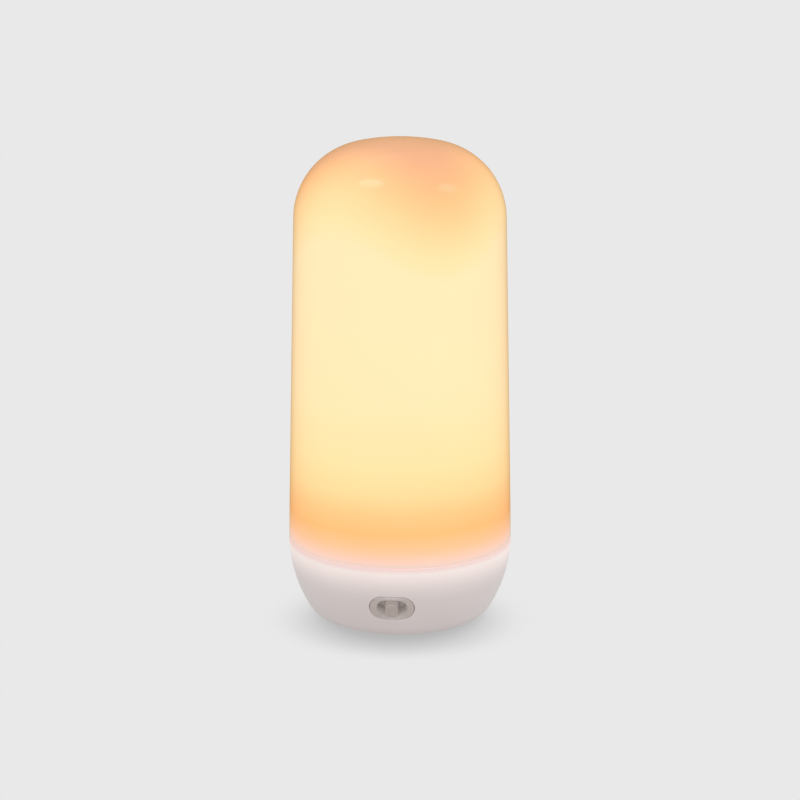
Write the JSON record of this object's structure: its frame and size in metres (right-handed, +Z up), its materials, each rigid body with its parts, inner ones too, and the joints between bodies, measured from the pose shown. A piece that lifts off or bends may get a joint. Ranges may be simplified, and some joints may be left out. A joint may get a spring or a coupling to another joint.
{
  "type": "portable bulb light",
  "caption": "Cordless table light: glowing opal dome diffuser on a round base, slide switch in front, charging socket behind.",
  "frame": {"origin": "centre of the underside of the foot ring, on the surface the light stands on", "axes": "+Z up along the light's axis, -Y towards the switch, +X to the right as seen from the front"},
  "size_m": [0.065, 0.065, 0.1402],
  "materials": {
    "opal_diffuser": "gloss",
    "white_shell": "satin",
    "foot_rubber": "matte",
    "white_inner": "matte",
    "screw_steel": "satin",
    "flex_board": "satin",
    "led_resin": "satin",
    "cell_can": "satin",
    "cell_sleeve": "gloss",
    "nickel_strip": "satin",
    "cell_foam": "matte",
    "lead_jacket": "satin",
    "green_board": "gloss",
    "socket_steel": "satin",
    "black_plastic": "matte",
    "coil_ferrite": "matte",
    "capacitor_ceramic": "matte",
    "plug_nylon": "matte",
    "pin_brass": "polished",
    "grey_insert": "satin",
    "grey_knob": "satin"
  },
  "bodies": {
    "light": {"diffuser": "opal_diffuser", "base_shell": "white_shell", "foot_ring": "foot_rubber", "inner_deck": "white_inner", "deck_screws": "screw_steel", "light_core": "white_inner", "core_screws": "screw_steel", "core_cap": "white_inner", "led_board": "flex_board", "leds": "led_resin", "battery_cell": "cell_can", "battery_sleeve": "cell_sleeve", "battery_tabs": "nickel_strip", "battery_pad": "cell_foam", "battery_leads": "lead_jacket", "main_board": "green_board", "board_screws": "screw_steel", "usb_shell": "socket_steel", "usb_tongue": "black_plastic", "control_chip": "black_plastic", "charge_chip": "black_plastic", "power_coil": "coil_ferrite", "board_capacitors": "capacitor_ceramic", "battery_connector": "plug_nylon", "led_connector": "plug_nylon", "switch_case": "socket_steel", "switch_pins": "pin_brass", "switch_bezel": "grey_insert"},
    "switch_slider": {"switch_knob": "grey_knob", "switch_lever": "black_plastic"}
  },
  "joints": [
    {"name": "switch_slide", "type": "slide", "parent": "light", "child": "switch_slider", "axis": [1, 0, 0], "range_m": [-0.002, 0.002]}
  ]
}
